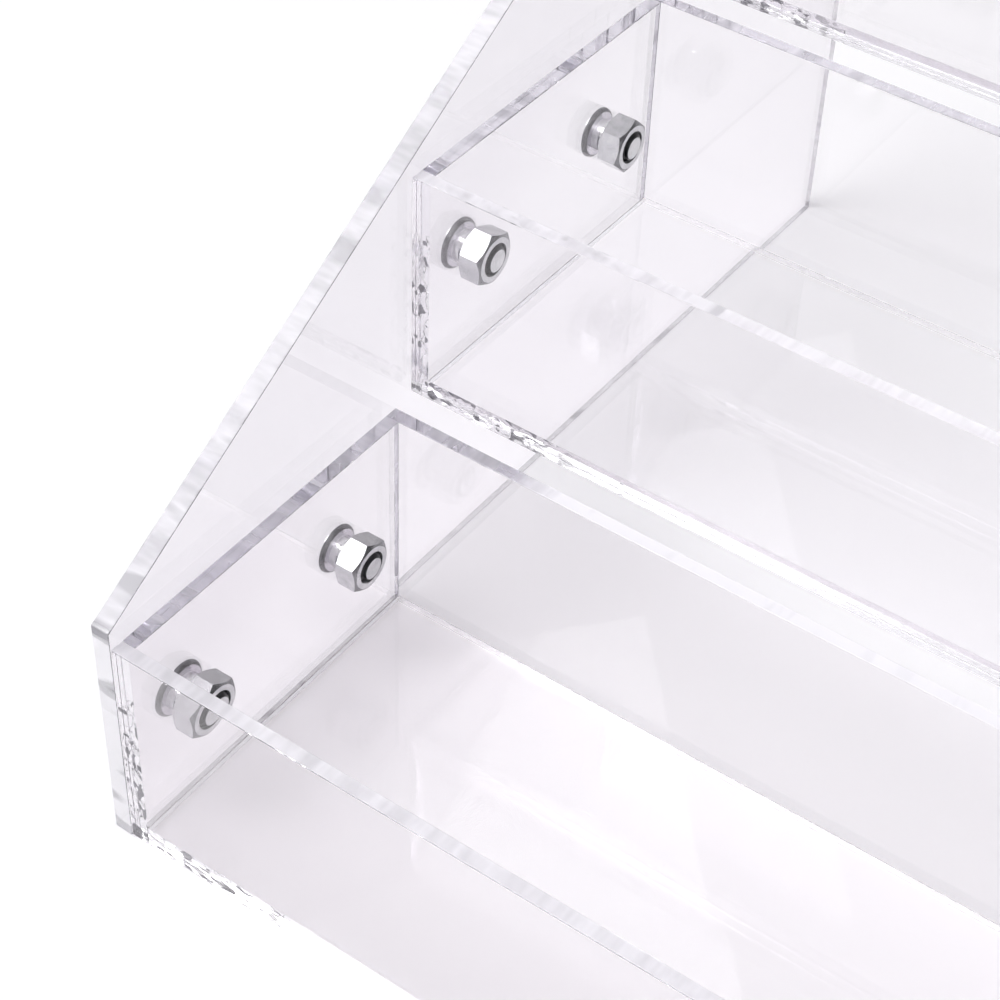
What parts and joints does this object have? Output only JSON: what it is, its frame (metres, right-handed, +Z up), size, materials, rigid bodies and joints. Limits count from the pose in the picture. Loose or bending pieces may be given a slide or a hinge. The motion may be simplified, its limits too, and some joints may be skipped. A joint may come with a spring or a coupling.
{
  "type": "vanity organizer",
  "caption": "Clear acrylic stepped countertop organizer: open trays bolted between side panels with slanted edges.",
  "frame": {"origin": "on the table under the middle of the whole object's bounding box", "axes": "+X to the user's right along the trays, +Y from the front to the back, +Z up"},
  "size_m": [0.3112, 0.25, 0.1564],
  "materials": {
    "clear_panel": "clear cast acrylic with polished edges",
    "clear_tray": "clear cast acrylic, cemented seams",
    "screw_steel": "bright plated steel with rolled threads",
    "nut_steel": "bright plated steel"
  },
  "bodies": {
    "root": {"left_side_panel": "clear_panel", "right_side_panel": "clear_panel", "lower_tray_front_wall": "clear_tray", "lower_tray_back_wall": "clear_tray", "lower_tray_floor": "clear_tray", "lower_tray_left_end": "clear_tray", "lower_tray_right_end": "clear_tray", "middle_tray_front_wall": "clear_tray", "middle_tray_back_wall": "clear_tray", "middle_tray_floor": "clear_tray", "middle_tray_left_end": "clear_tray", "middle_tray_right_end": "clear_tray", "upper_tray_front_wall": "clear_tray", "upper_tray_back_wall": "clear_tray", "upper_tray_floor": "clear_tray", "upper_tray_left_end": "clear_tray", "upper_tray_right_end": "clear_tray", "lower_tray_screws": "screw_steel", "lower_tray_nuts": "nut_steel", "middle_tray_screws": "screw_steel", "middle_tray_nuts": "nut_steel", "upper_tray_screws": "screw_steel", "upper_tray_nuts": "nut_steel"}
  },
  "joints": []
}
